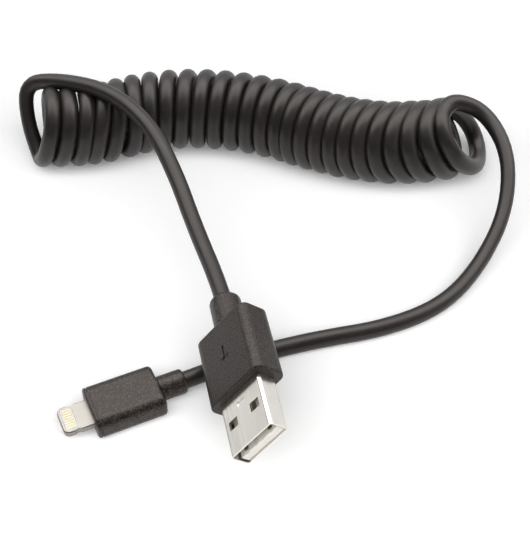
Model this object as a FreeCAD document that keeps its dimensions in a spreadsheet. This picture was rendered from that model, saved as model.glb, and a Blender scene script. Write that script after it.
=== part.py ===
# Coiled charging cable: a flat four-contact host plug and a slim eight-contact phone plug on a curly cord.
# Millimetres, +Z up, the floor at Z = 0. The plugs and the cord lie as they come to rest on a table.
import FreeCAD, Part
import Sketcher
import math
import os

Vector = FreeCAD.Vector
Placement = FreeCAD.Placement
Rotation = FreeCAD.Rotation

doc = FreeCAD.newDocument("coiled_charging_cable")
sheet = doc.addObject("Spreadsheet::Sheet", "Sizes")

# Driving sizes in millimetres, angles in degrees
SIZES = {
    # Cord: jacket, curly stretch and the wires inside
    "cord_d": 3.7,
    "coil_d": 20.0,
    "wire_d": 0.85,
    "wire_offset": 0.75,
    # Clearances
    "fit": 0.03,
    "bore_gap": 0.05,
    "solder_gap": 0.05,
    # Host plug: folded steel shell
    "shell_w": 12.0,
    "shell_h": 4.5,
    "shell_wall": 0.3,
    "shell_corner": 0.7,
    "shell_reach": 12.0,
    "shell_root": 6.0,
    "window_w": 2.5,
    "window_l": 2.0,
    "window_from_mouth": 5.16,
    "window_centre": 3.2,
    "lance_w": 2.2,
    "lance_l": 0.9,
    "lance_from_mouth": 9.2,
    "lance_depth": 0.15,
    "seam_w": 0.12,
    # Host plug: contact carrier and contacts
    "throat": 9.0,
    "tongue_setback": 0.35,
    "tongue_h": 1.9,
    "groove_depth": 0.15,
    "strip_w": 1.0,
    "strip_t": 0.25,
    "strip_outer_x": 3.5,
    "strip_inner_x": 1.0,
    "strip_outer_setback": 1.1,
    "strip_inner_setback": 2.1,
    "strip_tail": 1.6,
    # Host plug: inner moulding and overmoulding with its collar
    "mould_w": 15.8,
    "mould_h": 7.6,
    "mould_l": 17.0,
    "mould_corner": 2.0,
    "mould_front_round": 0.35,
    "mould_back_round": 0.5,
    "mould_front_wall": 1.6,
    "core_w": 13.8,
    "core_h": 6.0,
    "core_l": 11.4,
    "core_corner": 1.0,
    "chamber_w": 10.0,
    "chamber_h": 3.2,
    "chamber_l": 5.6,
    "collar_d": 6.8,
    "collar_l": 8.0,
    "collar_round": 1.2,
    "jacket_in": 7.5,
    # Host plug: plain arrow sunk into the upper face, towards the mouth
    "mark_from_front": 6.4,
    "mark_l": 4.4,
    "mark_head_w": 2.4,
    "mark_head_l": 1.7,
    "mark_stem_w": 0.6,
    "mark_depth": 0.2,
    # Phone plug: steel tab
    "tab_w": 6.7,
    "tab_t": 1.5,
    "tab_reach": 6.2,
    "tab_root": 5.0,
    "tab_tip_round": 1.3,
    "tab_edge_round": 0.3,
    "notch_r": 0.9,
    "notch_depth": 0.4,
    "notch_from_tip": 2.9,
    "flange_w": 8.0,
    "flange_t": 2.6,
    "flange_behind": 1.2,
    "flange_l": 3.4,
    "insert_w": 5.3,
    "insert_l": 2.4,
    "insert_from_tip": 0.6,
    "insert_corner": 0.4,
    # Phone plug: contacts, board and screening can
    "pad_w": 0.38,
    "pad_l": 1.7,
    "pad_t": 0.14,
    "pad_proud": 0.02,
    "pad_pitch": 0.62,
    "pad_from_tip": 0.95,
    "board_w": 4.8,
    "board_t": 0.6,
    "board_behind": 9.0,
    "chip_side": 2.4,
    "chip_t": 0.8,
    "chip_behind": 7.4,
    "can_w": 8.0,
    "can_h": 3.4,
    "can_l": 6.4,
    "can_wall": 0.2,
    "can_corner": 0.5,
    "can_behind": 4.8,
    # Phone plug: inner moulding and boot with its collar
    "boot_w": 11.2,
    "boot_h": 5.7,
    "boot_l": 14.8,
    "boot_corner": 2.1,
    "boot_front_round": 0.55,
    "boot_back_round": 0.9,
    "boot_front_wall": 1.0,
    "boot_groove_from_front": 0.7,
    "boot_groove_w": 0.25,
    "boot_groove_depth": 0.2,
    "filler_w": 9.0,
    "filler_h": 4.3,
    "filler_l": 11.6,
    "filler_corner": 0.9,
    "boot_collar_d": 5.3,
    "boot_collar_l": 5.5,
    "boot_collar_round": 0.6,
    "boot_jacket_in": 5.2,
    "boot_wire_outer_x": 1.8,
    "boot_wire_inner_x": 0.6,
    # Where the plugs lie
    "host_x": 15.412,
    "host_y": -6.065,
    "host_z": 12.35,
    "host_heading": 11.74,
    "host_roll_angle": 50.6,
    "phone_x": -16.398,
    "phone_y": -3.865,
    "phone_heading": -65.2,
    # How far the cord runs on straight behind each collar
    "host_lead": 6.1,
    "phone_lead": 4.3,
}

# Routes of the free cord, point by point in the order that the cord runs: host plug, coil, phone plug
HOST_ROUTE = [
    (3.8, 39.7, 13.6),
    (-1.4, 53.7, 16.5),
    (-7.7, 68.2, 20.5),
    (-19.2, 80.7, 23.2),
    (-33.2, 88.0, 22.4),
    (-41.7, 90.2, 18.5),
    (-41.7, 86.2, 9.5),
]
COIL_ROUTE = [
    (-46.2, 82.2),
    (-28.7, 80.3),
    (-8.7, 90.2),
    (15.8, 88.9),
    (39.8, 76.2),
    (59.8, 74.5),
    (74.3, 80.2),
]
PHONE_ROUTE = [
    (62.3, 78.7, 17.2),
    (74.4, 78.0, 18.2),
    (78.3, 65.8, 14.1),
    (76.0, 51.8, 7.8),
    (68.6, 38.8, 2.9),
    (58.8, 27.0, 1.86),
    (45.3, 20.2, 1.86),
    (30.0, 16.9, 1.86),
    (15.5, 12.2, 1.86),
]
# Share of the shorter run that an arc takes up, and the distance within which two places are the same
ARC_SHARE = 0.45
TOUCH = 1e-6

for row, (alias, value) in enumerate(SIZES.items(), 1):
    sheet.set(f"A{row}", alias)
    sheet.set(f"B{row}", str(value))
    sheet.setAlias(f"B{row}", alias)
doc.recompute()

nodes = []


def value_of(text):
    """Number that an expression on the sheet gives now."""
    return float(sheet.evalExpression(text))


def S(text):
    """Expression with each plain alias in it bound to the sheet."""
    words = []
    for word in text.split():
        words.append("Sizes." + word if word in SIZES else word)
    return " ".join(words)


def size(text):
    """Number that an expression in plain aliases gives now."""
    return value_of(S(text))


def plug_placement(x, y, z, heading, roll):
    """Plug frame: X across, Y out of the upper face, Z out of the mouth or tip."""
    heading_turn = Rotation(Vector(0, 0, 1), heading)
    roll_turn = Rotation(Vector(0, 1, 0), -roll)
    laid_down = Rotation(Vector(1, 0, 0), 90)
    return Placement(Vector(x, y, z), heading_turn * roll_turn * laid_down)


HOST = plug_placement(size("host_x"), size("host_y"), size("host_z"), size("host_heading"), size("host_roll_angle"))
PHONE = plug_placement(size("phone_x"), size("phone_y"), size("boot_h / 2"), size("phone_heading"), 0)


def keep(obj, label, placement=None):
    """Names a finished sub-part and puts it in its place."""
    obj.Label = label
    if placement is not None:
        obj.Placement = placement
    nodes.append(obj)
    return obj


def new_body(label, placement):
    """Empty body, kept as a sub-part."""
    body = doc.addObject("PartDesign::Body", label)
    keep(body, label, placement)
    return body


def sketch_on(body, role, offset="0"):
    """Empty sketch on one of the body's own planes, moved along the plane's normal."""
    sketch = body.newObject("Sketcher::SketchObject", body.Label + "_sketch")
    plane = next(f for f in body.Origin.OriginFeatures if f.Role == role)
    sketch.AttachmentSupport = [(plane, "")]
    sketch.MapMode = "FlatFace"
    sketch.setExpression("AttachmentOffset.Base.z", S(offset))
    return sketch


def bind(sketch, constraint, text):
    """Adds a dimension and ties it to the sheet."""
    index = sketch.addConstraint(constraint)
    sketch.setExpression(f"Constraints[{index}]", S(text))


def rounded_rectangle(sketch, width, height, corner):
    """Rectangle with four equal round corners, centred on the sketch's origin."""
    w, h, r = size(width) / 2, size(height) / 2, size(corner)
    up = Vector(0, 0, 1)
    quarter = math.pi / 2
    first = sketch.GeometryCount
    ends = [(w, -h), (w, h), (-w, h), (-w, -h)]
    for k, (x, y) in enumerate(ends):
        px, py = ends[k - 1]
        along = Vector(x - px, y - py, 0).normalize()
        start = Vector(px, py, 0) + along * r
        end = Vector(x, y, 0) - along * r
        sketch.addGeometry(Part.LineSegment(start, end), False)
        centre = Vector(math.copysign(w - r, x), math.copysign(h - r, y), 0)
        arc = Part.ArcOfCircle(Part.Circle(centre, up, r), (k - 1) * quarter, k * quarter)
        sketch.addGeometry(arc, False)
    for k in range(8):
        after = first + (k + 1) % 8
        sketch.addConstraint(Sketcher.Constraint("Tangent", first + k, 2, after, 1))
    for k in (0, 4):
        sketch.addConstraint(Sketcher.Constraint("Horizontal", first + k))
        sketch.addConstraint(Sketcher.Constraint("Vertical", first + k + 2))
    for k in (3, 5, 7):
        sketch.addConstraint(Sketcher.Constraint("Equal", first + 1, first + k))
    sketch.addConstraint(Sketcher.Constraint("Symmetric", first + 1, 3, first + 5, 3, -1, 1))
    bind(sketch, Sketcher.Constraint("Radius", first + 1, r), corner)
    bind(sketch, Sketcher.Constraint("DistanceX", first + 6, 1, first + 2, 1, 2 * w), width)
    bind(sketch, Sketcher.Constraint("DistanceY", first, 1, first + 4, 1, 2 * h), height)


def rectangle(sketch, left, bottom, width, height):
    """Rectangle from its lower left corner; each argument is an expression."""
    x, y, w, h = size(left), size(bottom), size(width), size(height)
    corners = [Vector(x, y, 0), Vector(x + w, y, 0), Vector(x + w, y + h, 0), Vector(x, y + h, 0)]
    first = sketch.GeometryCount
    for k in range(4):
        sketch.addGeometry(Part.LineSegment(corners[k], corners[(k + 1) % 4]), False)
    for k in range(4):
        sketch.addConstraint(Sketcher.Constraint("Coincident", first + k, 2, first + (k + 1) % 4, 1))
    for k in (0, 2):
        sketch.addConstraint(Sketcher.Constraint("Horizontal", first + k))
        sketch.addConstraint(Sketcher.Constraint("Vertical", first + k + 1))
    bind(sketch, Sketcher.Constraint("DistanceX", first, 1, first, 2, w), width)
    bind(sketch, Sketcher.Constraint("DistanceY", first + 1, 1, first + 1, 2, h), height)
    bind(sketch, Sketcher.Constraint("DistanceX", -1, 1, first, 1, x), left)
    bind(sketch, Sketcher.Constraint("DistanceY", -1, 1, first, 1, y), bottom)


def outline(sketch, corners):
    """Closed outline of straight sides through corners that are pairs of expressions."""
    places = [Vector(size(x), size(y), 0) for x, y in corners]
    first = sketch.GeometryCount
    count = len(places)
    for k in range(count):
        sketch.addGeometry(Part.LineSegment(places[k], places[(k + 1) % count]), False)
    for k in range(count):
        sketch.addConstraint(Sketcher.Constraint("Coincident", first + k, 2, first + (k + 1) % count, 1))
    for k, (x, y) in enumerate(corners):
        bind(sketch, Sketcher.Constraint("DistanceX", -1, 1, first + k, 1, places[k].x), x)
        bind(sketch, Sketcher.Constraint("DistanceY", -1, 1, first + k, 1, places[k].y), y)


def circle(sketch, radius, x="0", y="0"):
    """Circle about a point of the sketch."""
    outline = Part.Circle(Vector(size(x), size(y), 0), Vector(0, 0, 1), size(radius))
    index = sketch.addGeometry(outline, False)
    bind(sketch, Sketcher.Constraint("Radius", index, size(radius)), radius)
    bind(sketch, Sketcher.Constraint("DistanceX", -1, 1, index, 3, size(x)), x)
    bind(sketch, Sketcher.Constraint("DistanceY", -1, 1, index, 3, size(y)), y)


def pad(body, sketch, length, both_ways=False, backwards=False):
    """Solid from a sketch, along its normal unless it is turned round."""
    feature = body.newObject("PartDesign::Pad", body.Label + "_pad")
    feature.Profile = sketch
    feature.setExpression("Length", S(length))
    feature.SideType = "Symmetric" if both_ways else "One side"
    feature.Reversed = backwards
    doc.recompute()
    return feature


def pocket(body, sketch, length, both_ways=False, backwards=False):
    """Cut from a sketch; it runs against the sketch's normal unless it is turned round."""
    before = body.Shape.Volume
    feature = body.newObject("PartDesign::Pocket", body.Label + "_pocket")
    feature.Profile = sketch
    feature.setExpression("Length", S(length))
    feature.SideType = "Symmetric" if both_ways else "One side"
    feature.Reversed = backwards
    doc.recompute()
    if body.Shape.Volume > before - TOUCH:
        raise RuntimeError(f"{feature.Label} cuts nothing out of {body.Label}")
    return feature


def fillet(body, radius, wanted):
    """Rounds every edge of the body that the test picks."""
    base = body.Tip
    names = [f"Edge{k}" for k, edge in enumerate(base.Shape.Edges, 1) if wanted(edge)]
    feature = body.newObject("PartDesign::Fillet", body.Label + "_fillet")
    feature.Base = (base, names)
    feature.setExpression("Radius", S(radius))
    doc.recompute()
    return feature


def flat_at(edge, z):
    """True for an edge that lies wholly at one height along the plug's axis."""
    extent = edge.BoundBox
    return abs(extent.ZMin - z) < TOUCH and abs(extent.ZMax - z) < TOUCH


def upright(edge):
    """True for an edge that runs from one broad face towards the other."""
    return edge.BoundBox.YLength > TOUCH


def off_axis(edge):
    """Distance of an edge's middle from the plug's axis."""
    middle = edge.valueAt((edge.FirstParameter + edge.LastParameter) / 2)
    return math.hypot(middle.x, middle.y)


def box(label, placement, x, y, z, length, width, height):
    """Plain block from its lowest corner in the plug's frame."""
    block = doc.addObject("Part::Box", label)
    block.setExpression("Length", S(length))
    block.setExpression("Width", S(width))
    block.setExpression("Height", S(height))
    return keep(block, label, placement * Placement(Vector(size(x), size(y), size(z)), Rotation()))


def cord_path(points):
    """Straight runs joined by tangent arcs, each as large as its two runs allow."""
    edges = []
    radii = []
    start = points[0]
    for before, corner, after in zip(points, points[1:], points[2:]):
        back = before - corner
        ahead = after - corner
        cut = ARC_SHARE * min(back.Length, ahead.Length)
        half_turn = (math.pi - back.getAngle(ahead)) / 2
        radius = cut / math.tan(half_turn)
        radii.append(radius)
        into = corner + Vector(back).normalize() * cut
        out = corner + Vector(ahead).normalize() * cut
        inward = (Vector(back).normalize() + Vector(ahead).normalize()).normalize()
        middle = corner + inward * (radius / math.cos(half_turn) - radius)
        edges.append(Part.LineSegment(start, into).toShape())
        edges.append(Part.Arc(into, middle, out).toShape())
        start = out
    edges.append(Part.LineSegment(start, points[-1]).toShape())
    return Part.Wire(edges), radii


def tube(name, points, diameter):
    """Solid round bar along a cord path, with its volume set against section times length."""
    path, radii = cord_path(points)
    section = Part.Wire([Part.makeCircle(diameter / 2, points[0], points[1] - points[0])])
    solid = path.makePipeShell([section], True, False)
    expected = math.pi * diameter ** 2 / 4 * path.Length
    if abs(solid.Volume / expected - 1) > 0.005:
        raise RuntimeError(f"{name}: volume {solid.Volume:.1f} is not {expected:.1f}")
    print(f"{name}: length {path.Length:.1f}, arc radii", [round(r, 1) for r in radii])
    return solid


def wire_bundle(prefix, placement, jacket_end, chamber_back, joint, outer_x, inner_x):
    """Four wires from the cut jacket to their solder joints, the upper pair to the outer places."""
    offset = size("wire_offset")
    wire_d = size("wire_d")
    places = [(-1, 1, outer_x, "left_outer"), (1, 1, outer_x, "right_outer")]
    places += [(-1, -1, inner_x, "left_inner"), (1, -1, inner_x, "right_inner")]
    for side, level, far, name in places:
        x, y = side * offset, level * offset
        points = [
            Vector(x, y, jacket_end),
            Vector(x, y, chamber_back),
            Vector(side * far, 0, joint - wire_d),
            Vector(side * far, 0, joint),
        ]
        label = f"{prefix}_wire_{name}"
        wire = doc.addObject("Part::Feature", label)
        wire.Shape = tube(label, points, wire_d)
        keep(wire, label, placement)


# Host plug shell: folded sheet with a seam underneath, two latch windows in each broad face and a lance
shell = new_body("host_shell", HOST)
profile = sketch_on(shell, "XY_Plane", "- shell_root")
rounded_rectangle(profile, "shell_w", "shell_h", "shell_corner")
shell_inside = ("shell_w - 2 * shell_wall", "shell_h - 2 * shell_wall", "shell_corner - shell_wall")
rounded_rectangle(profile, *shell_inside)
pad(shell, profile, "shell_root + shell_reach")
windows = sketch_on(shell, "XZ_Plane")
window_back = "shell_reach - window_from_mouth - window_l"
for centre in ("- window_centre", "window_centre"):
    rectangle(windows, centre + " - window_w / 2", window_back, "window_w", "window_l")
pocket(shell, windows, "2 * shell_h", both_ways=True)
lance = sketch_on(shell, "XZ_Plane", "- shell_h / 2")
rectangle(lance, "- lance_w / 2", "shell_reach - lance_from_mouth - lance_l / 2", "lance_w", "lance_l")
pocket(shell, lance, "lance_depth", backwards=True)
seam = sketch_on(shell, "XY_Plane", "- shell_root")
rectangle(seam, "- seam_w / 2", "- shell_h / 2 - shell_wall", "seam_w", "3 * shell_wall")
pocket(shell, seam, "shell_root + shell_reach", backwards=True)

# Contact carrier: a block at the back of the shell with the tongue along its lower half
carrier = new_body("host_tongue", HOST)
block_w = "shell_w - 2 * shell_wall - 2 * fit"
block_h = "shell_h - 2 * shell_wall - 2 * fit"
profile = sketch_on(carrier, "XY_Plane", "- shell_root")
rounded_rectangle(profile, block_w, block_h, "shell_corner - shell_wall")
pad(carrier, profile, "shell_root + shell_reach - throat")
tongue = sketch_on(carrier, "XY_Plane", "- shell_root")
tongue_floor = "- shell_h / 2 + shell_wall + fit"
rectangle(tongue, "shell_corner - shell_w / 2", tongue_floor, "shell_w - 2 * shell_corner", "tongue_h")
pad(carrier, tongue, "shell_root + shell_reach - tongue_setback")
grooves = sketch_on(carrier, "XY_Plane", "- shell_root")
strip_floor = tongue_floor + " + tongue_h - groove_depth"
STRIPS = [
    ("left_outer", "- strip_outer_x", "strip_outer_setback"),
    ("left_inner", "- strip_inner_x", "strip_inner_setback"),
    ("right_inner", "strip_inner_x", "strip_inner_setback"),
    ("right_outer", "strip_outer_x", "strip_outer_setback"),
]
for name, centre, setback in STRIPS:
    rectangle(grooves, centre + " - strip_w / 2 - fit", strip_floor, "strip_w + 2 * fit", "strip_t + fit")
pocket(carrier, grooves, "shell_root + shell_reach", backwards=True)

# Contact strips in the carrier's grooves, the outer pair nearer to the mouth
for name, centre, setback in STRIPS:
    box(
        "host_contact_" + name,
        HOST,
        centre + " - strip_w / 2",
        strip_floor,
        "- shell_root - strip_tail",
        "strip_w",
        "strip_t",
        "shell_root + strip_tail + shell_reach - " + setback,
    )

# Inner moulding behind the shell: a pocket for the shell's root, a wire chamber and the cord's bore
core = new_body("host_inner_mould", HOST)
profile = sketch_on(core, "XY_Plane", "- mould_front_wall - core_l")
rounded_rectangle(profile, "core_w", "core_h", "core_corner")
pad(core, profile, "core_l")
seat = sketch_on(core, "XY_Plane", "- mould_front_wall")
rounded_rectangle(seat, "shell_w + 2 * fit", "shell_h + 2 * fit", "shell_corner + fit")
pocket(core, seat, "shell_root - mould_front_wall")
chamber = sketch_on(core, "XY_Plane", "- shell_root")
rectangle(chamber, "- chamber_w / 2", "- chamber_h / 2", "chamber_w", "chamber_h")
pocket(core, chamber, "chamber_l")
bore = sketch_on(core, "XY_Plane", "- mould_front_wall - core_l")
circle(bore, "cord_d / 2 + bore_gap")
pocket(core, bore, "mould_front_wall + core_l - shell_root - chamber_l", backwards=True)

# Overmoulding: a rounded block with the round collar behind it and an arrow in its upper face
mould = new_body("host_overmould", HOST)
profile = sketch_on(mould, "XY_Plane", "- mould_l")
rounded_rectangle(profile, "mould_w", "mould_h", "mould_corner")
pad(mould, profile, "mould_l")
collar = sketch_on(mould, "XY_Plane", "- mould_l")
circle(collar, "collar_d / 2")
pad(mould, collar, "collar_l", backwards=True)
fillet(mould, "mould_front_round", lambda e: flat_at(e, 0))
mould_back = -size("mould_l")
host_exit = -size("mould_l + collar_l")
collar_side = size("collar_d / 2") + TOUCH
fillet(mould, "mould_back_round", lambda e: flat_at(e, mould_back) and off_axis(e) > collar_side)
fillet(mould, "collar_round", lambda e: flat_at(e, host_exit))
mouth = sketch_on(mould, "XY_Plane")
rounded_rectangle(mouth, "shell_w + 2 * fit", "shell_h + 2 * fit", "shell_corner + fit")
pocket(mould, mouth, "mould_front_wall")
cavity = sketch_on(mould, "XY_Plane", "- mould_front_wall")
rounded_rectangle(cavity, "core_w", "core_h", "core_corner")
pocket(mould, cavity, "core_l")
bore = sketch_on(mould, "XY_Plane", "- mould_l - collar_l")
circle(bore, "cord_d / 2 + bore_gap")
pocket(mould, bore, "mould_l + collar_l - mould_front_wall - core_l", backwards=True)

mark = sketch_on(mould, "XZ_Plane", "- mould_h / 2")
mark_tip = "- mark_from_front"
mark_neck = "- mark_from_front - mark_head_l"
mark_end = "- mark_from_front - mark_l"
outline(
    mark,
    [
        ("0", mark_tip),
        ("mark_head_w / 2", mark_neck),
        ("mark_stem_w / 2", mark_neck),
        ("mark_stem_w / 2", mark_end),
        ("- mark_stem_w / 2", mark_end),
        ("- mark_stem_w / 2", mark_neck),
        ("- mark_head_w / 2", mark_neck),
    ],
)
pocket(mould, mark, "mark_depth", backwards=True)

# Wires of the host plug
host_jacket = host_exit + size("jacket_in")
wire_bundle(
    "host",
    HOST,
    host_jacket,
    -size("shell_root + chamber_l"),
    -size("shell_root + strip_tail + solder_gap"),
    size("strip_outer_x"),
    size("strip_inner_x"),
)

# Steel tab of the phone plug: rounded tip, a latch notch in each edge, a contact window and a buried flange
tab = new_body("phone_tab", PHONE)
plan = sketch_on(tab, "XZ_Plane")
rectangle(plan, "- tab_w / 2", "- tab_root", "tab_w", "tab_root + tab_reach")
pad(tab, plan, "tab_t", both_ways=True)
tip = size("tab_reach")
fillet(tab, "tab_tip_round", lambda e: flat_at(e, tip) and upright(e))
fillet(tab, "tab_edge_round", lambda e: not upright(e) and e.BoundBox.ZMax > 0)
notches = sketch_on(tab, "XZ_Plane")
for side in ("- 1 *", "1 *"):
    circle(notches, "notch_r", f"{side} ( tab_w / 2 + notch_r - notch_depth )", "tab_reach - notch_from_tip")
pocket(tab, notches, "2 * tab_t", both_ways=True)
flange = sketch_on(tab, "XY_Plane", "- flange_behind")
rectangle(flange, "- flange_w / 2", "- flange_t / 2", "flange_w", "flange_t")
pad(tab, flange, "flange_l", backwards=True)
window = sketch_on(tab, "XZ_Plane")
window_floor = "tab_reach - insert_from_tip - insert_l"
rectangle(window, "- insert_w / 2", window_floor, "insert_w", "insert_l")
pocket(tab, window, "2 * tab_t", both_ways=True)
window_side = size("insert_w / 2")
fillet(tab, "insert_corner", lambda e: upright(e) and abs(abs(e.CenterOfMass.x) - window_side) < TOUCH)
slot = sketch_on(tab, "XY_Plane", "- tab_root")
rectangle(slot, "- board_w / 2 - fit", "- board_t / 2 - fit", "board_w + 2 * fit", "board_t + 2 * fit")
pocket(tab, slot, "tab_root + " + window_floor, backwards=True)

# White insert in the tab's window, with a row of contact seats in each face
insert = new_body("phone_insert", PHONE)
plan = sketch_on(insert, "XZ_Plane")
rectangle(
    plan,
    "- insert_w / 2 + fit",
    window_floor + " + fit",
    "insert_w - 2 * fit",
    "insert_l - 2 * fit",
)
pad(insert, plan, "tab_t", both_ways=True)
fillet(insert, "insert_corner - fit", upright)
PADS = range(8)
PAD_MIDDLE = 3.5
pad_floor = "tab_reach - pad_from_tip - pad_l"
for side in (1, -1):
    seats = sketch_on(insert, "XZ_Plane", f"{-side} * tab_t / 2")
    for k in PADS:
        left = f"{k - PAD_MIDDLE} * pad_pitch - pad_w / 2 - fit"
        rectangle(seats, left, pad_floor + " - fit", "pad_w + 2 * fit", "pad_l + 2 * fit")
    pocket(insert, seats, "pad_t - pad_proud", backwards=side > 0)

# Contact pads, eight on each face
for face, floor in (("upper", "tab_t / 2 - pad_t + pad_proud"), ("lower", "- tab_t / 2 - pad_proud")):
    for k in PADS:
        left = f"{k - PAD_MIDDLE} * pad_pitch - pad_w / 2"
        box(f"phone_contact_{face}_{k + 1}", PHONE, left, floor, pad_floor, "pad_w", "pad_t", "pad_l")

# Circuit board behind the insert, with its chip
board_l = "board_behind + " + window_floor
box("phone_board", PHONE, "- board_w / 2", "- board_t / 2", "- board_behind", "board_w", "board_t", board_l)
box(
    "phone_chip",
    PHONE,
    "- chip_side / 2",
    "board_t / 2",
    "- chip_behind - chip_side / 2",
    "chip_side",
    "chip_t",
    "chip_side",
)

# Screening can round the board
can = new_body("phone_can", PHONE)
profile = sketch_on(can, "XY_Plane", "- can_behind - can_l")
rounded_rectangle(profile, "can_w", "can_h", "can_corner")
rounded_rectangle(profile, "can_w - 2 * can_wall", "can_h - 2 * can_wall", "can_corner - can_wall")
pad(can, profile, "can_l")

# Inner moulding of the phone plug, round the flange and the can
filler = new_body("phone_inner_mould", PHONE)
profile = sketch_on(filler, "XY_Plane", "- boot_front_wall - filler_l")
rounded_rectangle(profile, "filler_w", "filler_h", "filler_corner")
pad(filler, profile, "filler_l")
seat = sketch_on(filler, "XY_Plane", "- boot_front_wall")
rectangle(seat, "- flange_w / 2 - fit", "- flange_t / 2 - fit", "flange_w + 2 * fit", "flange_t + 2 * fit")
pocket(filler, seat, "can_behind - boot_front_wall")
room = sketch_on(filler, "XY_Plane", "- can_behind")
rounded_rectangle(room, "can_w + 2 * fit", "can_h + 2 * fit", "can_corner + fit")
pocket(filler, room, "can_l")
bore = sketch_on(filler, "XY_Plane", "- boot_front_wall - filler_l")
circle(bore, "cord_d / 2 + bore_gap")
pocket(filler, bore, "boot_front_wall + filler_l - can_behind - can_l", backwards=True)

# Boot: a slim rounded block with a fine groove behind its front edge and the collar behind it
boot = new_body("phone_boot", PHONE)
profile = sketch_on(boot, "XY_Plane", "- boot_l")
rounded_rectangle(profile, "boot_w", "boot_h", "boot_corner")
pad(boot, profile, "boot_l")
collar = sketch_on(boot, "XY_Plane", "- boot_l")
circle(collar, "boot_collar_d / 2")
pad(boot, collar, "boot_collar_l", backwards=True)
fillet(boot, "boot_front_round", lambda e: flat_at(e, 0))
boot_back = -size("boot_l")
phone_exit = -size("boot_l + boot_collar_l")
boot_collar_side = size("boot_collar_d / 2") + TOUCH
fillet(boot, "boot_back_round", lambda e: flat_at(e, boot_back) and off_axis(e) > boot_collar_side)
fillet(boot, "boot_collar_round", lambda e: flat_at(e, phone_exit))
groove = sketch_on(boot, "XY_Plane", "- boot_groove_from_front")
rounded_rectangle(
    groove,
    "boot_w + 2 * boot_groove_w",
    "boot_h + 2 * boot_groove_w",
    "boot_corner + boot_groove_w",
)
rounded_rectangle(
    groove,
    "boot_w - 2 * boot_groove_depth",
    "boot_h - 2 * boot_groove_depth",
    "boot_corner - boot_groove_depth",
)
pocket(boot, groove, "boot_groove_w")
mouth = sketch_on(boot, "XY_Plane")
rounded_rectangle(mouth, "tab_w + 2 * fit", "tab_t + 2 * fit", "tab_edge_round")
pocket(boot, mouth, "boot_front_wall")
cavity = sketch_on(boot, "XY_Plane", "- boot_front_wall")
rounded_rectangle(cavity, "filler_w", "filler_h", "filler_corner")
pocket(boot, cavity, "filler_l")
bore = sketch_on(boot, "XY_Plane", "- boot_l - boot_collar_l")
circle(bore, "cord_d / 2 + bore_gap")
pocket(boot, bore, "boot_l + boot_collar_l - boot_front_wall - filler_l", backwards=True)

# Wires of the phone plug
phone_jacket = phone_exit + size("boot_jacket_in")
wire_bundle(
    "phone",
    PHONE,
    phone_jacket,
    -size("can_behind + can_l"),
    -size("board_behind + solder_gap"),
    size("boot_wire_outer_x"),
    size("boot_wire_inner_x"),
)

# Cord: the curly stretch as one fat bar, and a plain tail to each plug that ends on it
coil = doc.addObject("Part::Feature", "cord_coil")
coil_axis = [Vector(x, y, size("coil_d / 2")) for x, y in COIL_ROUTE]
coil.Shape = tube("cord_coil", coil_axis, size("coil_d"))
TAILS = [
    ("cord_tail_host", HOST, host_jacket, host_exit - size("host_lead"), HOST_ROUTE),
    ("cord_tail_phone", PHONE, phone_jacket, phone_exit - size("phone_lead"), list(reversed(PHONE_ROUTE))),
]
for label, plug, jacket_end, lead_end, route in TAILS:
    points = [plug.multVec(Vector(0, 0, along)) for along in (jacket_end, lead_end)]
    points += [Vector(*point) for point in route]
    bar = doc.addObject("Part::Feature", label + "_bar")
    bar.Shape = tube(label, points, size("cord_d"))
    tail = doc.addObject("Part::Cut", label)
    tail.Base = bar
    tail.Tool = coil
    keep(tail, label)
keep(coil, "cord_coil")

doc.recompute()
for obj in doc.Objects:
    if "Invalid" in obj.State or "Error" in obj.State:
        raise RuntimeError(f"{obj.Label} failed: {obj.State}")
os.makedirs("parts", exist_ok=True)
for node in nodes:
    shape = node.Shape
    if shape.isNull() or not shape.isValid() or len(shape.Solids) != 1:
        raise RuntimeError(f"{node.Label} is not one valid solid")
for node in nodes:
    node.Shape.exportStep(f"parts/{node.Label}.step")
print(len(nodes), "sub-parts written")
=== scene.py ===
"""Coiled charging cable: its curly cord, the finishes of both plugs and the table under them."""
import math

import bpy
from bpy.props import FloatProperty, FloatVectorProperty, IntProperty, PointerProperty
from mathutils import Matrix, Vector


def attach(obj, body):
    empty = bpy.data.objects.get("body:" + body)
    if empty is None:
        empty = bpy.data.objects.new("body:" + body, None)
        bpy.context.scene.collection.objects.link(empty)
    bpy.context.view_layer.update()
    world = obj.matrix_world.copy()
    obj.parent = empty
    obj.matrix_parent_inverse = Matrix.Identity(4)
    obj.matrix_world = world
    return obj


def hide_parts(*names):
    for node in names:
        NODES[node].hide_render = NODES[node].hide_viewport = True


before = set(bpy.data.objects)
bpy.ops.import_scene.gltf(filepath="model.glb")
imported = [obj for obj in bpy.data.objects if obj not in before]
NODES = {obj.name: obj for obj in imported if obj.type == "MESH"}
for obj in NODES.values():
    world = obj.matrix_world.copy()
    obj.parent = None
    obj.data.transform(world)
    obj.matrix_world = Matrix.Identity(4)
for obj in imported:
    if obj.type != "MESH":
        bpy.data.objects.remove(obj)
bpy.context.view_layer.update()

bl_info = {
    "name": "Coiled Charging Cable",
    "version": (1, 0, 0),
    "blender": (4, 5, 0),
    "location": "View3D > Sidebar > Cable",
    "description": "Winds the cord, finishes both plugs and lights them on a white table",
    "category": "Object",
}

MM = 0.001
UP = Vector((0, 0, 1))

# Where each plug lies in millimetres, and how it is turned in degrees
HOST_PLACE = Vector((15.412, -6.065, 12.35))
HOST_HEADING = 11.74
HOST_ROLL = 50.6
PHONE_PLACE = Vector((-16.398, -3.865, 2.85))
PHONE_HEADING = -65.2
PHONE_ROLL = 0

# Places on a plug's axis in millimetres, counted back from the front of its moulding:
# the end of the jacket inside, the end of the collar, and the point that leads the cord straight out
HOST_JACKET_END = -17.5
HOST_LEAD_END = -27.6
PHONE_JACKET_END = -15.1
PHONE_LEAD_END = -24.6

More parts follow.
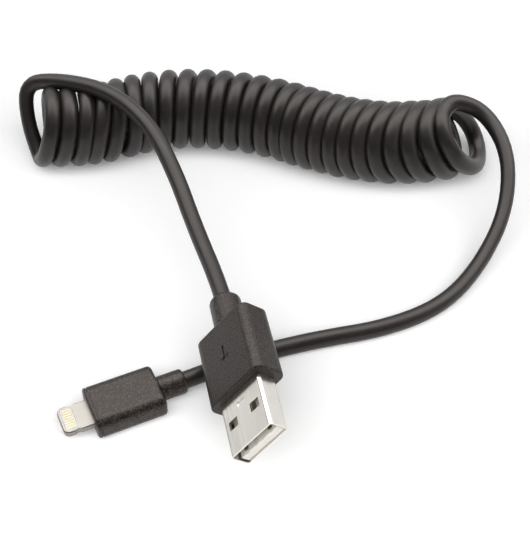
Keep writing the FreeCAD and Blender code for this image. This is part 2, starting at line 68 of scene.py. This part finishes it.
# Route of the cord in millimetres, with its thickness there as a share of the plain cord's:
# from the host plug up over the coil's left end and down to its first turn
HOST_ROUTE = [
    (3.1, 39.7, 13.6, 1.04),
    (-1.6, 53.7, 16.5, 1.07),
    (-8.3, 68.2, 20.4, 1.06),
    (-19.2, 80.2, 22.1, 1.1),
    (-33.2, 87.5, 20.3, 1.12),
    (-43.0, 90.2, 17.8, 1.04),
    (-42.8, 84.6, 9.4, 0.98),
    (-39.6, 78.6, 2.6, 1.1),
]
# The coil's axis, seen from above, in millimetres
COIL_ROUTE = [
    (-46.2, 82.2),
    (-28.7, 79.7),
    (-8.7, 89.9),
    (15.8, 88.1),
    (39.8, 75.6),
    (59.8, 73.9),
    (74.3, 79.5),
]
# From the top of the last turn round to the phone plug; the stretched bend is thinner
PHONE_ROUTE = [
    (66.2, 79.7, 19.8, 1.15),
    (73.9, 77.7, 17.6, 1.08),
    (78.2, 65.6, 14.1, 0.96),
    (76.2, 51.7, 7.8, 0.93),
    (68.75, 38.65, 2.9, 0.95),
    (58.9, 26.85, 1.9, 1.0),
    (45.4, 19.9, 1.95, 1.04),
    (30.0, 16.6, 1.97, 1.06),
    (15.5, 12.0, 2.0, 1.05),
]
# Turn of the coil, and its place along the axis in millimetres: the end turns are bent
TURN_PLACES = [
    (0, 8.6),
    (0.25, 9.6),
    (0.45, 9.7),
    (0.57, 9.7),
    (0.68, 10.4),
    (0.8, 11.6),
    (1, 12.7),
    (1.25, 13.8),
    (1.45, 14.0),
    (1.6, 14.5),
    (1.8, 16.0),
    (2, 17.3),
    (2.25, 18.4),
    (2.45, 18.9),
    (2.6, 19.5),
    (2.8, 20.8),
    (3, 21.8),
    (4, 25.5),
    (6, 34.1),
    (9, 48.8),
    (14, 72.5),
    (17, 84.0),
    (20, 95.9),
    (21.15, 100.7),
    (22.15, 105.2),
    (23, 108.6),
    (23.15, 109.7),
    (23.3, 110.0),
    (23.5, 110.9),
    (23.65, 112.8),
    (23.8, 112.3),
    (24, 112.6),
    (24.15, 114.2),
    (24.3, 114.7),
    (24.5, 116.3),
    (24.6, 119.4),
    (24.75, 120.8),
    (24.85, 119.9),
    (25, 118.7),
    (25.25, 118.4),
]
# Place along the axis, and how far the under side of a turn leans along it, in millimetres
TURN_LEANS = [
    (8.0, -0.2),
    (12.7, -0.2),
    (17.3, -0.6),
    (21.8, -1.7),
    (25.0, -1.9),
    (48.0, 0.0),
    (72.0, 1.2),
    (100.0, 0.0),
    (108.5, -0.3),
    (113.0, 0.7),
    (118.0, 1.2),
]
# Place along the axis, and how far a turn's front and back are pushed along it, in millimetres
TURN_BULGES = [
    (8.0, 2.9, 3.3),
    (12.7, 2.7, 2.2),
    (17.3, 1.8, 0.8),
    (21.8, 0.5, 0.3),
    (30.0, 0.0, 0.0),
    (60.0, 0.0, 0.0),
    (84.0, -1.4, -1.4),
    (100.0, -4.6, -4.5),
    (109.0, -6.7, -6.6),
    (112.0, -7.2, -7.8),
    (115.0, -7.6, -7.2),
    (118.4, -7.4, -6.4),
]
# Turn, and the cord's thickness there: it swells where it is curled, and most in the last turns
TURN_SWELLS = [
    (19, 1.17),
    (22, 1.21),
    (23.2, 1.25),
    (23.7, 1.14),
    (24.1, 1.26),
    (24.3, 1.24),
    (24.7, 1.14),
    (25.2, 1.27),
    (25.4, 1.2),
]
# An angle is zero at the under side of a turn and grows up its front.
# Turns are counted from the start angle, and the helix runs from one angle to the other.
TURN_START = math.radians(45)
HELIX_FROM = math.radians(35)
HELIX_TO = math.radians(25 * 360 + 185)

# How finely the curves are drawn: steps between two control points, and the rounding of the cord
AXIS_STEPS = 24
CORD_STEPS = 6
CORD_ROUNDING = 6

# Most of a noise pattern lies between these two values
NOISE_LOW = 0.3
NOISE_HIGH = 0.7

# The mirrored room: which way its white side lies, and the cosines from there between which it dims
WHITE_SIDE = (0.4, 0.917, 0.0)
TONE_FROM = -0.3
TONE_TO = 0.4

# The photograph's frame and the focal length fitted to it, in pixels
IMAGE_SIZE = (530, 533)
FOCAL_PIXELS = 1000
# The sensor's width in millimetres, and the nearest distance that the camera draws, in metres
SENSOR_WIDTH = 36
NEAR_CLIP = 0.01


def linear(hex_colour):
    """Scene-linear colour of an sRGB hex value such as #2b2927."""
    channels = []
    for start in (1, 3, 5):
        value = int(hex_colour[start:start + 2], 16) / 255
        channels.append(value / 12.92 if value <= 0.04045 else ((value + 0.055) / 1.055) ** 2.4)
    return (*channels, 1.0)


def darker(colour, share):
    """Colour with its channels at a share of their value."""
    return (*(share * channel for channel in colour[:3]), 1.0)


def per_metre(size_mm):
    """Texture scale that repeats once in a size given in millimetres."""
    return 1 / (size_mm * MM)


class CordSizes(bpy.types.PropertyGroup):
    """Sizes of the curly cord"""

    diameter: FloatProperty(
        name="Diameter",
        description="Outer diameter of the jacket",
        unit="LENGTH",
        default=3.7 * MM,
    )
    coil_diameter: FloatProperty(
        name="Coil diameter",
        description="Outer diameter of the curly stretch",
        unit="LENGTH",
        default=20 * MM,
    )
    points_per_turn: IntProperty(
        name="Points per turn",
        description="Control points in each turn of the coil",
        subtype="UNSIGNED",
        default=12,
    )


class CableColours(bpy.types.PropertyGroup):
    """Colours of the cable's materials"""

    jacket: FloatVectorProperty(
        name="Jacket",
        description="Elastomer of the cord",
        subtype="COLOR",
        size=4,
        default=linear("#151413"),
    )
    moulding: FloatVectorProperty(
        name="Mouldings",
        description="Plastic of both plugs",
        subtype="COLOR",
        size=4,
        default=linear("#0b0908"),
    )
    nickel: FloatVectorProperty(
        name="Nickel",
        description="Plating of the host shell",
        subtype="COLOR",
        size=4,
        default=linear("#eae6df"),
    )
    steel: FloatVectorProperty(
        name="Steel",
        description="Tab of the phone plug",
        subtype="COLOR",
        size=4,
        default=linear("#96928c"),
    )
    carrier: FloatVectorProperty(
        name="Carrier",
        description="White contact carriers",
        subtype="COLOR",
        size=4,
        default=linear("#e6e2da"),
    )
    gold: FloatVectorProperty(
        name="Gold",
        description="Plating of the contacts",
        subtype="COLOR",
        size=4,
        default=linear("#a89f84"),
    )


class StudioSettings(bpy.types.PropertyGroup):
    """Camera, table and lamps"""

    target: FloatVectorProperty(
        name="Target",
        description="Point on the table that the camera looks at",
        subtype="XYZ",
        unit="LENGTH",
        default=(18.85 * MM, 40.95 * MM, 0.0),
    )
    distance: FloatProperty(
        name="Distance",
        description="From the camera to its target",
        unit="LENGTH",
        default=235.4 * MM,
    )
    elevation: FloatProperty(
        name="Elevation",
        description="Camera's height over the table, as an angle at its target",
        subtype="ANGLE",
        default=math.radians(45),
    )
    lamp_distance: FloatProperty(
        name="Lamp distance",
        description="From the target to each lamp",
        unit="LENGTH",
        default=0.8,
    )
    lamp_width: FloatProperty(
        name="Lamp width",
        description="Long side of each lamp",
        unit="LENGTH",
        default=2.2,
    )
    lamp_depth: FloatProperty(
        name="Lamp depth",
        description="Short side of each lamp",
        unit="LENGTH",
        default=0.72,
    )
    box_power: FloatProperty(
        name="Soft box",
        description="Power of the lamp that gloss and metal mirror",
        unit="POWER",
        default=15.0,
    )
    box_angle: FloatProperty(
        name="Box angle",
        description="Angle of the soft box, from the table's front up and over",
        subtype="ANGLE",
        default=math.radians(107),
    )
    fill_power: FloatProperty(
        name="Fill",
        description="Power of the lamp that lights matt surfaces",
        unit="POWER",
        default=13.0,
    )
    fill_angle: FloatProperty(
        name="Fill angle",
        description="Angle of the fill panel, from the table's front up and over",
        subtype="ANGLE",
        default=math.radians(58),
    )
    table_width: FloatProperty(
        name="Table width",
        description="Side of the square table",
        unit="LENGTH",
        default=3.0,
    )
    table_colour: FloatVectorProperty(
        name="Table colour",
        description="Paper on the table",
        subtype="COLOR",
        size=4,
        default=linear("#f7f7f7"),
    )
    table_glow: FloatProperty(
        name="Table glow",
        description="White that the eye sees added to the lit table",
        subtype="FACTOR",
        default=0.16,
    )
    fade_start: FloatProperty(
        name="Fade start",
        description="Distance from the target where the table starts to fade",
        unit="LENGTH",
        default=0.1,
    )
    fade_end: FloatProperty(
        name="Fade end",
        description="Distance from the target where the table is white",
        unit="LENGTH",
        default=0.26,
    )
    ambient: FloatProperty(
        name="Ambient",
        description="Strength of the light from the room",
        subtype="FACTOR",
        default=0.2,
    )
    front_tone: FloatProperty(
        name="Front tone",
        description="Mirrored tone of the viewer's side of the room",
        subtype="FACTOR",
        default=0.06,
    )


def plug_matrix(place, heading, roll):
    """Plug frame in millimetres: X across, Y out of the upper face, Z out of the mouth or tip."""
    rolled = Matrix.Rotation(math.radians(-roll), 4, "Y")
    turned = Matrix.Rotation(math.radians(heading), 4, "Z") @ rolled
    return Matrix.Translation(place) @ turned @ Matrix.Rotation(math.radians(90), 4, "X")


HOST_PLUG = plug_matrix(HOST_PLACE, HOST_HEADING, HOST_ROLL)
PHONE_PLUG = plug_matrix(PHONE_PLACE, PHONE_HEADING, PHONE_ROLL)


def on_axis(plug, along):
    """Point on a plug's axis, in millimetres."""
    return plug @ Vector((0, 0, along))


def between(pairs, place):
    """Value at a place, on straight lines between the pairs and level beyond their ends."""
    if place <= pairs[0][0]:
        return pairs[0][1]
    for (x0, y0), (x1, y1) in zip(pairs, pairs[1:]):
        if place <= x1:
            return y0 + (y1 - y0) * (place - x0) / (x1 - x0)
    return pairs[-1][1]


def nurbs_curve(name, points):
    """Smooth open curve with these control points in metres, each with its thickness."""
    curve = bpy.data.curves.new(name, "CURVE")
    curve.dimensions = "3D"
    spline = curve.splines.new("NURBS")
    spline.points.add(len(points) - 1)
    for control, (point, thickness) in zip(spline.points, points):
        control.co = (*point, 1.0)
        control.radius = thickness
    spline.order_u = 3
    spline.use_endpoint_u = True
    piece = bpy.data.objects.new(name, curve)
    bpy.context.scene.collection.objects.link(piece)
    return piece


def coil_axis(height):
    """Points of the coil's smooth axis, and the length to each from its left end, in millimetres."""
    route = [(Vector((x, y, height)) * MM, 1.0) for x, y in COIL_ROUTE]
    guide = nurbs_curve("coil_axis_guide", route)
    guide.data.splines[0].resolution_u = AXIS_STEPS
    mesh = bpy.data.meshes.new_from_object(guide)
    points = [vertex.co / MM for vertex in mesh.vertices]
    bpy.data.meshes.remove(mesh)
    curve = guide.data
    bpy.data.objects.remove(guide)
    bpy.data.curves.remove(curve)
    lengths = [0.0]
    for before, after in zip(points, points[1:]):
        lengths.append(lengths[-1] + (after - before).length)
    return points, lengths


def axis_frame(points, lengths, place):
    """Point of the axis and its direction at a length from the left end."""
    index = 0
    while index < len(lengths) - 2 and lengths[index + 1] < place:
        index += 1
    along = (points[index + 1] - points[index]).normalized()
    return points[index] + along * (place - lengths[index]), along


def helix_points(cord):
    """Control points of the coil, left to right: up the front, over the top and down the back."""
    cord_radius = cord.diameter / MM / 2
    turn_radius = cord.coil_diameter / MM / 2 - cord_radius
    step = 2 * math.pi / cord.points_per_turn
    # A quadratic curve runs inside its control points: the nearest counts for three quarters of its
    # place, and the two beside it for the rest
    control_radius = turn_radius / (0.75 + 0.25 * math.cos(step))
    points, lengths = coil_axis(turn_radius)
    front_pushes = [(place, front) for place, front, back in TURN_BULGES]
    back_pushes = [(place, back) for place, front, back in TURN_BULGES]
    controls = []
    count = round((HELIX_TO - HELIX_FROM) / step)
    for k in range(count + 1):
        angle = HELIX_FROM + k * step
        turn_angle = angle - TURN_START
        turn = turn_angle / (2 * math.pi)
        centre = between(TURN_PLACES, turn)
        lean = between(TURN_LEANS, centre) * math.cos(turn_angle)
        side = math.sin(turn_angle)
        bulge = between(front_pushes if side > 0 else back_pushes, centre) * side
        at, along = axis_frame(points, lengths, centre + lean + bulge)
        towards_viewer = along.cross(UP)
        offset = towards_viewer * math.sin(angle) - UP * math.cos(angle)
        # Each turn rests on the table, however thick it is there
        swell = between(TURN_SWELLS, turn)
        rise = UP * (cord_radius * swell)
        controls.append((at + rise + offset * control_radius, swell))
    return controls


def add_node(tree, kind, inputs=None, **settings):
    """Adds a shader node, sets its properties, and sets or links its inputs."""
    node = tree.nodes.new(kind)
    for name, value in settings.items():
        setattr(node, name, value)
    for key, value in (inputs or {}).items():
        if isinstance(value, bpy.types.NodeSocket):
            tree.links.new(value, node.inputs[key])
        else:
            node.inputs[key].default_value = value
    return node


def new_material(name):
    """Empty node material and its tree."""
    material = bpy.data.materials.new(name)
    material.use_nodes = True
    material.node_tree.nodes.clear()
    return material, material.node_tree


def seen_rays(tree):
    """Two sockets: one for rays from the camera, and one for those and the rays of mirrors and glass."""
    path = add_node(tree, "ShaderNodeLightPath")
    camera = path.outputs["Is Camera Ray"]
    seen = camera
    for ray in ("Is Glossy Ray", "Is Transmission Ray"):
        either = {0: seen, 1: path.outputs[ray]}
        seen = add_node(tree, "ShaderNodeMath", either, operation="MAXIMUM").outputs["Value"]
    return camera, seen


def cells_in(plug, *cell):
    """Mapping that counts cells of a size in millimetres in a plug's own frame."""
    return {
        "Location": plug.translation * MM,
        "Rotation": plug.to_euler(),
        "Scale": Vector(cell) * MM,
    }


def extruded_elastomer(colour):
    """Extruded thermoplastic elastomer: satin black skin with a faint bloom."""
    material, tree = new_material("extruded_elastomer")
    place = add_node(tree, "ShaderNodeTexCoord").outputs["Object"]
    bloom = add_node(
        tree,
        "ShaderNodeTexNoise",
        {"Vector": place, "Scale": per_metre(6.0), "Detail": 4.0, "Roughness": 0.6},
    ).outputs["Fac"]
    tint = add_node(
        tree,
        "ShaderNodeMix",
        {"Factor": bloom, "A": colour, "B": linear("#201d1c")},
        data_type="RGBA",
    ).outputs["Result"]
    gloss = add_node(
        tree,
        "ShaderNodeMapRange",
        {
            "Value": bloom,
            "From Min": NOISE_LOW,
            "From Max": NOISE_HIGH,
            "To Min": 0.34,
            "To Max": 0.44,
        },
    ).outputs["Result"]
    # The extruder's skin is finer than a tenth of a millimetre and is drawn coarser so that it shows
    skin = add_node(
        tree,
        "ShaderNodeTexNoise",
        {"Vector": place, "Scale": per_metre(0.35), "Detail": 3.0},
    ).outputs["Fac"]
    bump = add_node(
        tree,
        "ShaderNodeBump",
        {"Height": skin, "Strength": 0.15, "Distance": 0.02 * MM},
    )
    surface = add_node(
        tree,
        "ShaderNodeBsdfPrincipled",
        {
            "Base Color": tint,
            "Roughness": gloss,
            "IOR": 1.47,
            "Specular Tint": linear("#fff5f0"),
            "Normal": bump.outputs["Normal"],
        },
    )
    add_node(tree, "ShaderNodeOutputMaterial", {"Surface": surface.outputs["BSDF"]})
    return material


def spark_grained_moulding(name, colour, plug, seam_height):
    """Injection-moulded elastomer from a spark-eroded mould: an even matt grain, and the mould's seam."""
    material, tree = new_material(name)
    place = add_node(tree, "ShaderNodeTexCoord").outputs["Object"]
    # The real grain is about 0.1 mm and is drawn nearly three times coarser so that it shows
    pits = add_node(
        tree,
        "ShaderNodeMapping",
        {"Vector": place, **cells_in(plug, 0.27, 0.27, 0.27)},
        vector_type="TEXTURE",
    ).outputs["Vector"]
    noise = add_node(
        tree, "ShaderNodeTexNoise", {"Vector": pits, "Scale": 1.0, "Detail": 2.0}
    ).outputs["Fac"]
    grain = add_node(
        tree,
        "ShaderNodeMapRange",
        {"Value": noise, "From Min": 0.46, "From Max": 0.66},
        interpolation_type="SMOOTHSTEP",
    ).outputs["Result"]
    # The seam runs round the middle of the plug's height, and its places are in millimetres
    across = add_node(
        tree,
        "ShaderNodeMapping",
        {"Vector": place, **cells_in(plug, 1.0, 1.0, 1.0)},
        vector_type="TEXTURE",
    ).outputs["Vector"]
    height = add_node(tree, "ShaderNodeSeparateXYZ", {"Vector": across}).outputs["Y"]
    from_middle = add_node(tree, "ShaderNodeMath", {0: height}, operation="ABSOLUTE")
    ridge = add_node(
        tree,
        "ShaderNodeMapRange",
        {
            "Value": from_middle.outputs["Value"],
            "From Min": 0.04,
            "From Max": 0.14,
            "To Min": seam_height,
            "To Max": 0.0,
        },
    ).outputs["Result"]
    relief = add_node(tree, "ShaderNodeMath", {0: grain, 1: ridge}, operation="ADD")
    bump = add_node(
        tree,
        "ShaderNodeBump",
        {"Height": relief.outputs["Value"], "Strength": 0.3, "Distance": 0.05 * MM},
    )
    tint = add_node(
        tree,
        "ShaderNodeMix",
        {"Factor": grain, "A": colour, "B": linear("#423b37")},
        data_type="RGBA",
    ).outputs["Result"]
    surface = add_node(
        tree,
        "ShaderNodeBsdfPrincipled",
        {
            "Base Color": tint,
            "Roughness": 0.36,
            "IOR": 1.45,
            "Specular Tint": linear("#fff3ec"),
            "Normal": bump.outputs["Normal"],
        },
    )
    add_node(tree, "ShaderNodeOutputMaterial", {"Surface": surface.outputs["BSDF"]})
    return material


def plated_sheet(name, colour, plug, roughness):
    """Rolled and plated sheet: bright, with faint streaks half a millimetre wide the way it was rolled."""
    material, tree = new_material(name)
    place = add_node(tree, "ShaderNodeTexCoord").outputs["Object"]
    rolled = add_node(
        tree,
        "ShaderNodeMapping",
        {"Vector": place, **cells_in(plug, 0.5, 0.5, 9.0)},
        vector_type="TEXTURE",
    ).outputs["Vector"]
    streaks = add_node(
        tree, "ShaderNodeTexNoise", {"Vector": rolled, "Scale": 1.0, "Detail": 3.0}
    ).outputs["Fac"]
    tint = add_node(
        tree,
        "ShaderNodeMix",
        {"Factor": streaks, "A": colour, "B": darker(colour, 0.93)},
        data_type="RGBA",
    ).outputs["Result"]
    gloss = add_node(
        tree,
        "ShaderNodeMapRange",
        {
            "Value": streaks,
            "From Min": NOISE_LOW,
            "From Max": NOISE_HIGH,
            "To Min": roughness - 0.02,
            "To Max": roughness + 0.03,
        },
    ).outputs["Result"]
    surface = add_node(
        tree,
        "ShaderNodeBsdfPrincipled",
        {"Base Color": tint, "Metallic": 1.0, "Roughness": gloss},
    )
    add_node(tree, "ShaderNodeOutputMaterial", {"Surface": surface.outputs["BSDF"]})
    return material


def moulded_plastic(name, colour, roughness):
    """Moulded plastic: one colour with a faint clouding of its tone and gloss."""
    material, tree = new_material(name)
    place = add_node(tree, "ShaderNodeTexCoord").outputs["Object"]
    cloud = add_node(
        tree,
        "ShaderNodeTexNoise",
        {"Vector": place, "Scale": per_metre(1.5), "Detail": 3.0},
    ).outputs["Fac"]
    tint = add_node(
        tree,
        "ShaderNodeMix",
        {"Factor": cloud, "A": colour, "B": darker(colour, 0.92)},
        data_type="RGBA",
    ).outputs["Result"]
    gloss = add_node(
        tree,
        "ShaderNodeMapRange",
        {
            "Value": cloud,
            "From Min": NOISE_LOW,
            "From Max": NOISE_HIGH,
            "To Min": roughness - 0.05,
            "To Max": roughness + 0.05,
        },
    ).outputs["Result"]
    surface = add_node(
        tree,
        "ShaderNodeBsdfPrincipled",
        {"Base Color": tint, "Roughness": gloss, "IOR": 1.5},
    )
    add_node(tree, "ShaderNodeOutputMaterial", {"Surface": surface.outputs["BSDF"]})
    return material


def dress(material, *names):
    """Gives CAD nodes a material."""
    for name in names:
        mesh = NODES[name].data
        mesh.materials.clear()
        mesh.materials.append(material)


def named(prefix):
    """Names of the CAD nodes that start with a prefix."""
    return sorted(name for name in NODES if name.startswith(prefix))


class CABLE_OT_cord(bpy.types.Operator):
    """Lays the cord from plug to plug in one piece, with its curly stretch"""

    bl_idname = "cable.cord"
    bl_label = "Cord"

    def execute(self, context):
        sizes = context.scene.cable_cord
        points = [(on_axis(HOST_PLUG, along), 1.0) for along in (HOST_JACKET_END, HOST_LEAD_END)]
        points += [(Vector(place), thickness) for *place, thickness in HOST_ROUTE]
        points += helix_points(sizes)
        points += [(Vector(place), thickness) for *place, thickness in PHONE_ROUTE]
        points += [(on_axis(PHONE_PLUG, along), 1.0) for along in (PHONE_LEAD_END, PHONE_JACKET_END)]
        piece = nurbs_curve("cord", [(point * MM, thickness) for point, thickness in points])
        curve = piece.data
        curve.bevel_depth = sizes.diameter / 2
        curve.bevel_resolution = CORD_ROUNDING
        curve.splines[0].resolution_u = CORD_STEPS
        curve.splines[0].use_smooth = True
        curve.materials.append(extruded_elastomer(context.scene.cable_colours.jacket))
        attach(piece, "root")
        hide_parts("cord_tail_host", "cord_coil", "cord_tail_phone")
        return {"FINISHED"}


class CABLE_OT_mouldings(bpy.types.Operator):
    """Finishes the black mouldings of both plugs"""

    bl_idname = "cable.mouldings"
    bl_label = "Mouldings"

    def execute(self, context):
        colour = context.scene.cable_colours.moulding
        host = spark_grained_moulding("grained_overmoulding", colour, HOST_PLUG, seam_height=0.0)
        dress(host, "host_overmould")
        phone = spark_grained_moulding("grained_boot_moulding", colour, PHONE_PLUG, seam_height=0.8)
        dress(phone, "phone_boot")
        return {"FINISHED"}


class CABLE_OT_metal(bpy.types.Operator):
    """Finishes the shell, the tab and the contacts"""

    bl_idname = "cable.metal"
    bl_label = "Metal pieces"

    def execute(self, context):
        colours = context.scene.cable_colours
        shell = plated_sheet("nickel_plated_sheet", colours.nickel, HOST_PLUG, roughness=0.22)
        dress(shell, "host_shell")
        tab = plated_sheet("blasted_stainless_steel", colours.steel, PHONE_PLUG, roughness=0.42)
        dress(tab, "phone_tab")
        leaf = plated_sheet("gold_plated_leaf", colours.gold, HOST_PLUG, roughness=0.3)
        dress(leaf, *named("host_contact"))
        pad = plated_sheet("gold_plated_pad", colours.gold, PHONE_PLUG, roughness=0.36)
        dress(pad, *named("phone_contact"))
        can = plated_sheet("tinned_sheet", linear("#c4c3bf"), PHONE_PLUG, roughness=0.35)
        dress(can, "phone_can")
        return {"FINISHED"}


class CABLE_OT_carriers(bpy.types.Operator):
    """Finishes the white contact carriers"""

    bl_idname = "cable.carriers"
    bl_label = "Contact carriers"

    def execute(self, context):
        colour = context.scene.cable_colours.carrier
        white = moulded_plastic("white_liquid_crystal_polymer", colour, roughness=0.38)
        dress(white, "host_tongue", "phone_insert")
        return {"FINISHED"}


class CABLE_OT_inside(bpy.types.Operator):
    """Finishes what the plugs hold inside"""

    bl_idname = "cable.inside"
    bl_label = "Inner pieces"

    def execute(self, context):
        polyamide = moulded_plastic("low_pressure_polyamide", linear("#d8d5cc"), roughness=0.5)
        dress(polyamide, "host_inner_mould", "phone_inner_mould")
        mask = moulded_plastic("solder_mask_on_glass_epoxy", linear("#1f5a36"), roughness=0.4)
        dress(mask, "phone_board")
        epoxy = moulded_plastic("moulded_epoxy", linear("#1c1b1b"), roughness=0.5)
        dress(epoxy, "phone_chip")
        insulation = {
            "left_outer": ("red_insulation", "#b52822"),
            "left_inner": ("white_insulation", "#e6e4df"),
            "right_inner": ("green_insulation", "#2f8a45"),
            "right_outer": ("black_insulation", "#1f1e1e"),
        }
        for place, (name, hex_colour) in insulation.items():
            material = moulded_plastic("extruded_" + name, linear(hex_colour), roughness=0.45)
            dress(material, "host_wire_" + place, "phone_wire_" + place)
        return {"FINISHED"}


class CABLE_OT_studio(bpy.types.Operator):
    """Sets up the white table, the lamps and the camera"""

    bl_idname = "cable.studio"
    bl_label = "Studio"

    def execute(self, context):
        scene = context.scene
        studio = scene.cable_studio
        self.add_table(scene, studio)
        self.add_room(scene, studio)
        # One lamp is only mirrored, and the other only lights matt surfaces
        box = self.add_lamp(scene, studio, "soft_box", studio.box_power, studio.box_angle)
        box.visible_diffuse = False
        fill = self.add_lamp(scene, studio, "fill_panel", studio.fill_power, studio.fill_angle)
        fill.visible_glossy = False
        self.add_camera(scene, studio)
        scene.view_settings.view_transform = "Standard"
        return {"FINISHED"}

    def add_table(self, scene, studio):
        """Lays a square sheet of white paper under the cable."""
        half = studio.table_width / 2
        mesh = bpy.data.meshes.new("table")
        corners = [(-half, -half, 0), (half, -half, 0), (half, half, 0), (-half, half, 0)]
        mesh.from_pydata(corners, [], [(0, 1, 2, 3)])
        material, tree = new_material("white_table")
        paper = add_node(tree, "ShaderNodeBsdfDiffuse", {"Color": studio.table_colour})
        # Round the cable the table shows its shadow, and further off it fades to white
        camera, seen = seen_rays(tree)
        place = add_node(tree, "ShaderNodeTexCoord").outputs["Object"]
        distance = add_node(
            tree,
            "ShaderNodeVectorMath",
            {0: place, 1: studio.target},
            operation="DISTANCE",
        ).outputs["Value"]
        far = add_node(
            tree,
            "ShaderNodeMapRange",
            {"Value": distance, "From Min": studio.fade_start, "From Max": studio.fade_end},
            interpolation_type="SMOOTHSTEP",
        ).outputs["Result"]
        white = add_node(tree, "ShaderNodeMath", {0: far, 1: camera}, operation="MULTIPLY")
        strength = add_node(
            tree,
            "ShaderNodeMath",
            {0: seen, 1: studio.table_glow, 2: white.outputs["Value"]},
            operation="MULTIPLY_ADD",
        ).outputs["Value"]
        glow = add_node(tree, "ShaderNodeEmission", {"Strength": strength})
        surface = add_node(
            tree,
            "ShaderNodeAddShader",
            {0: paper.outputs["BSDF"], 1: glow.outputs["Emission"]},
        )
        add_node(tree, "ShaderNodeOutputMaterial", {"Surface": surface.outputs["Shader"]})
        mesh.materials.append(material)
        table = bpy.data.objects.new("table", mesh)
        scene.collection.objects.link(table)

    def add_room(self, scene, studio):
        """Surrounds the table with a room of plain light."""
        world = bpy.data.worlds.new("room")
        world.use_nodes = True
        tree = world.node_tree
        # Mirrors show a room that is white behind the table to the right, and dim on the viewer's side
        camera, seen = seen_rays(tree)
        direction = add_node(tree, "ShaderNodeTexCoord").outputs["Generated"]
        towards_white = add_node(
            tree,
            "ShaderNodeVectorMath",
            {0: direction, 1: WHITE_SIDE},
            operation="DOT_PRODUCT",
        ).outputs["Value"]
        backdrop = add_node(
            tree,
            "ShaderNodeMapRange",
            {
                "Value": towards_white,
                "From Min": TONE_FROM,
                "From Max": TONE_TO,
                "To Min": studio.front_tone,
                "To Max": 1.0,
            },
            interpolation_type="SMOOTHSTEP",
        ).outputs["Result"]
        mirrored = add_node(
            tree, "ShaderNodeMix", {"Factor": seen, "A": studio.ambient, "B": backdrop}
        ).outputs["Result"]
        # The camera itself sees white all round
        strength = add_node(tree, "ShaderNodeMix", {"Factor": camera, "A": mirrored, "B": 1.0})
        background = tree.nodes["Background"]
        background.inputs["Color"].default_value = (1, 1, 1, 1)
        tree.links.new(strength.outputs["Result"], background.inputs["Strength"])
        scene.world = world

    def add_lamp(self, scene, studio, name, power, angle):
        """Hangs a broad flat lamp over the table, facing the camera's target."""
        lamp = bpy.data.lights.new(name, "AREA")
        lamp.shape = "RECTANGLE"
        lamp.size = studio.lamp_width
        lamp.size_y = studio.lamp_depth
        lamp.energy = power
        return self.aim(scene, studio, lamp, angle, studio.lamp_distance)

    def add_camera(self, scene, studio):
        """Sets up the camera that sees the cable as the photograph does."""
        lens = bpy.data.cameras.new("camera")
        lens.sensor_width = SENSOR_WIDTH
        lens.lens = FOCAL_PIXELS / max(IMAGE_SIZE) * SENSOR_WIDTH
        lens.clip_start = NEAR_CLIP
        scene.camera = self.aim(scene, studio, lens, studio.elevation, studio.distance)

    def aim(self, scene, studio, data, angle, distance):
        """Puts a lamp or a camera at an angle and a distance from the target, and turns it there."""
        away = Vector((0, -math.cos(angle), math.sin(angle)))
        piece = bpy.data.objects.new(data.name, data)
        piece.location = Vector(studio.target) + away * distance
        piece.rotation_euler = (-away).to_track_quat("-Z", "Y").to_euler()
        scene.collection.objects.link(piece)
        return piece


class CABLE_PT_panel(bpy.types.Panel):
    """Lists the cable's pieces and their settings"""

    bl_label = "Coiled Charging Cable"
    bl_idname = "CABLE_PT_panel"
    bl_space_type = "VIEW_3D"
    bl_region_type = "UI"
    bl_category = "Cable"

    def draw(self, context):
        layout = self.layout
        scene = context.scene
        for group in (scene.cable_cord, scene.cable_colours, scene.cable_studio):
            for name in group.bl_rna.properties.keys():
                if name not in ("rna_type", "name"):
                    layout.prop(group, name)
        for operator in OPERATORS:
            layout.operator(operator.bl_idname)


OPERATORS = (
    CABLE_OT_cord,
    CABLE_OT_mouldings,
    CABLE_OT_metal,
    CABLE_OT_carriers,
    CABLE_OT_inside,
    CABLE_OT_studio,
)
CLASSES = (CordSizes, CableColours, StudioSettings, *OPERATORS, CABLE_PT_panel)


def register():
    """Makes the settings, the operators and the panel known to Blender."""
    for cls in CLASSES:
        bpy.utils.register_class(cls)
    bpy.types.Scene.cable_cord = PointerProperty(type=CordSizes)
    bpy.types.Scene.cable_colours = PointerProperty(type=CableColours)
    bpy.types.Scene.cable_studio = PointerProperty(type=StudioSettings)


def unregister():
    """Takes the settings, the operators and the panel out again."""
    del bpy.types.Scene.cable_studio
    del bpy.types.Scene.cable_colours
    del bpy.types.Scene.cable_cord
    for cls in reversed(CLASSES):
        bpy.utils.unregister_class(cls)


def main():
    """Lays the cord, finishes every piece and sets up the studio."""
    register()
    bpy.ops.cable.cord()
    bpy.ops.cable.mouldings()
    bpy.ops.cable.metal()
    bpy.ops.cable.carriers()
    bpy.ops.cable.inside()
    bpy.ops.cable.studio()


if __name__ == "__main__":
    main()
